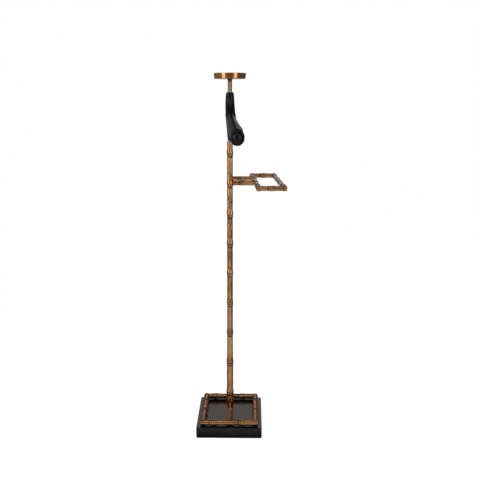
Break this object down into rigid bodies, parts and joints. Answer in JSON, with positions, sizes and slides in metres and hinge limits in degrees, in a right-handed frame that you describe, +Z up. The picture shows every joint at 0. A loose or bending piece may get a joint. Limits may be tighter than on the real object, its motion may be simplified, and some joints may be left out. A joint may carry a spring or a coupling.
{
  "type": "valet stand",
  "caption": "Free-standing valet stand: faux-bamboo brass pole on a stone plinth with a shoe rail, a long trouser frame, a turning carved coat hanger and a round top tray.",
  "frame": {"origin": "on the floor, on the pole's axis, at the underside of the felt sheet", "axes": "+Z up the pole; +X forward, towards the trouser frame; +Y to the left of someone who looks along +X, parallel to the plinth's long side"},
  "size_m": [0.2795, 0.4407, 1.1515],
  "materials": {
    "antique_brass": "cast and lacquered, dark in the hollows",
    "pale_brass": "turned and lacquered",
    "black_stone": "polished",
    "ebonised_wood": "black satin lacquer",
    "black_felt": "pressed felt",
    "zinc_steel": "zinc plated"
  },
  "bodies": {
    "stand": {"plinth": "black_stone", "felt_sheet": "black_felt", "pole_bolt": "zinc_steel", "pole_bolt_washer": "zinc_steel", "rail_screw_1": "zinc_steel", "rail_screw_2": "zinc_steel", "rail_screw_3": "zinc_steel", "rail_screw_4": "zinc_steel", "pole": "antique_brass", "pole_foot_insert": "zinc_steel", "pole_top_plug": "antique_brass", "shoe_rail_right": "antique_brass", "shoe_rail_left": "antique_brass", "shoe_rail_front": "antique_brass", "shoe_rail_back": "antique_brass", "crossbar_right": "antique_brass", "crossbar_left": "antique_brass", "arm_rod_upper": "antique_brass", "arm_rod_lower": "antique_brass", "trouser_end_right": "antique_brass", "trouser_end_left": "antique_brass", "trouser_bar_front": "antique_brass", "trouser_bar_back": "antique_brass", "hanger_lower_washer": "zinc_steel", "hanger_upper_washer": "zinc_steel", "stem": "pale_brass", "tie_rod": "zinc_steel", "tray_collar": "antique_brass", "tray": "antique_brass", "tray_screw": "zinc_steel"},
    "hanger": {"hanger_left_half": "ebonised_wood", "hanger_right_half": "ebonised_wood", "hanger_bush": "zinc_steel"}
  },
  "joints": [
    {"name": "hanger_swivel", "type": "hinge", "parent": "stand", "child": "hanger", "pos_m": [0, 0, 1], "axis": [0, 0, 1], "continuous": true}
  ]
}
